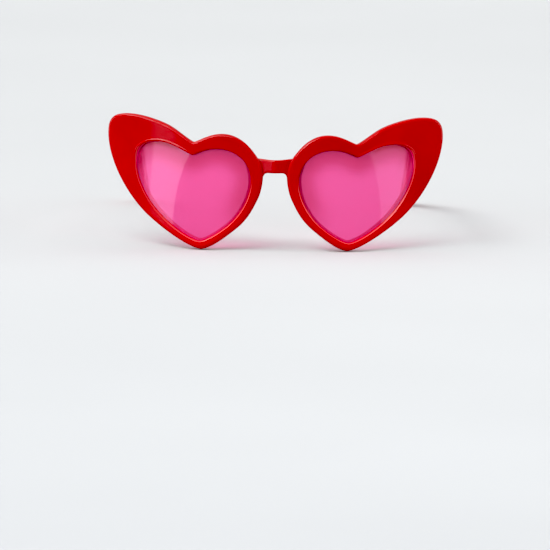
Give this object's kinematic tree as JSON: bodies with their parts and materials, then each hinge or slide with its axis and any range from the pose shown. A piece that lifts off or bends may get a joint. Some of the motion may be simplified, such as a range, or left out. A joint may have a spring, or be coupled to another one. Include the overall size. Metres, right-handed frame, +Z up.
{
  "type": "heart shaped sunglasses",
  "caption": "Party sunglasses with heart shaped rims, upswept wings, pink tinted lenses and folding arms on screwed leaf hinges.",
  "frame": {"origin": "middle of the footprint of the open glasses, on the surface that they stand on", "axes": "+Z up, the front faces -Y, the arms run back along +Y, the wearer's left is +X"},
  "size_m": [0.146, 0.1616, 0.0572],
  "materials": {
    "frame_plastic": "high gloss injection moulded red plastic",
    "lens_plastic": "clear pink tinted plastic, polished",
    "hinge_steel": "stamped and nickel plated",
    "screw_steel": "bright plated"
  },
  "bodies": {
    "front": {"front_frame": "frame_plastic", "lens_left": "lens_plastic", "lens_right": "lens_plastic", "hinge_leaf_front_left": "hinge_steel", "hinge_leaf_front_right": "hinge_steel", "hinge_screw_left": "screw_steel", "hinge_screw_right": "screw_steel", "front_leaf_screws_left": "screw_steel", "front_leaf_screws_right": "screw_steel"},
    "arm_left": {"temple_left": "frame_plastic", "hinge_leaf_temple_left": "hinge_steel", "temple_leaf_screws_left": "screw_steel"},
    "arm_right": {"temple_right": "frame_plastic", "hinge_leaf_temple_right": "hinge_steel", "temple_leaf_screws_right": "screw_steel"}
  },
  "joints": [
    {"name": "arm_left_fold", "type": "hinge", "parent": "front", "child": "arm_left", "pos_m": [0.06255, -0.0472, 0.04651], "axis": [0, 0.1392, 0.9903], "range_deg": [0, 90]},
    {"name": "arm_right_fold", "type": "hinge", "parent": "front", "child": "arm_right", "pos_m": [-0.06255, -0.0472, 0.04651], "axis": [0, -0.1392, -0.9903], "range_deg": [0, 85]}
  ]
}
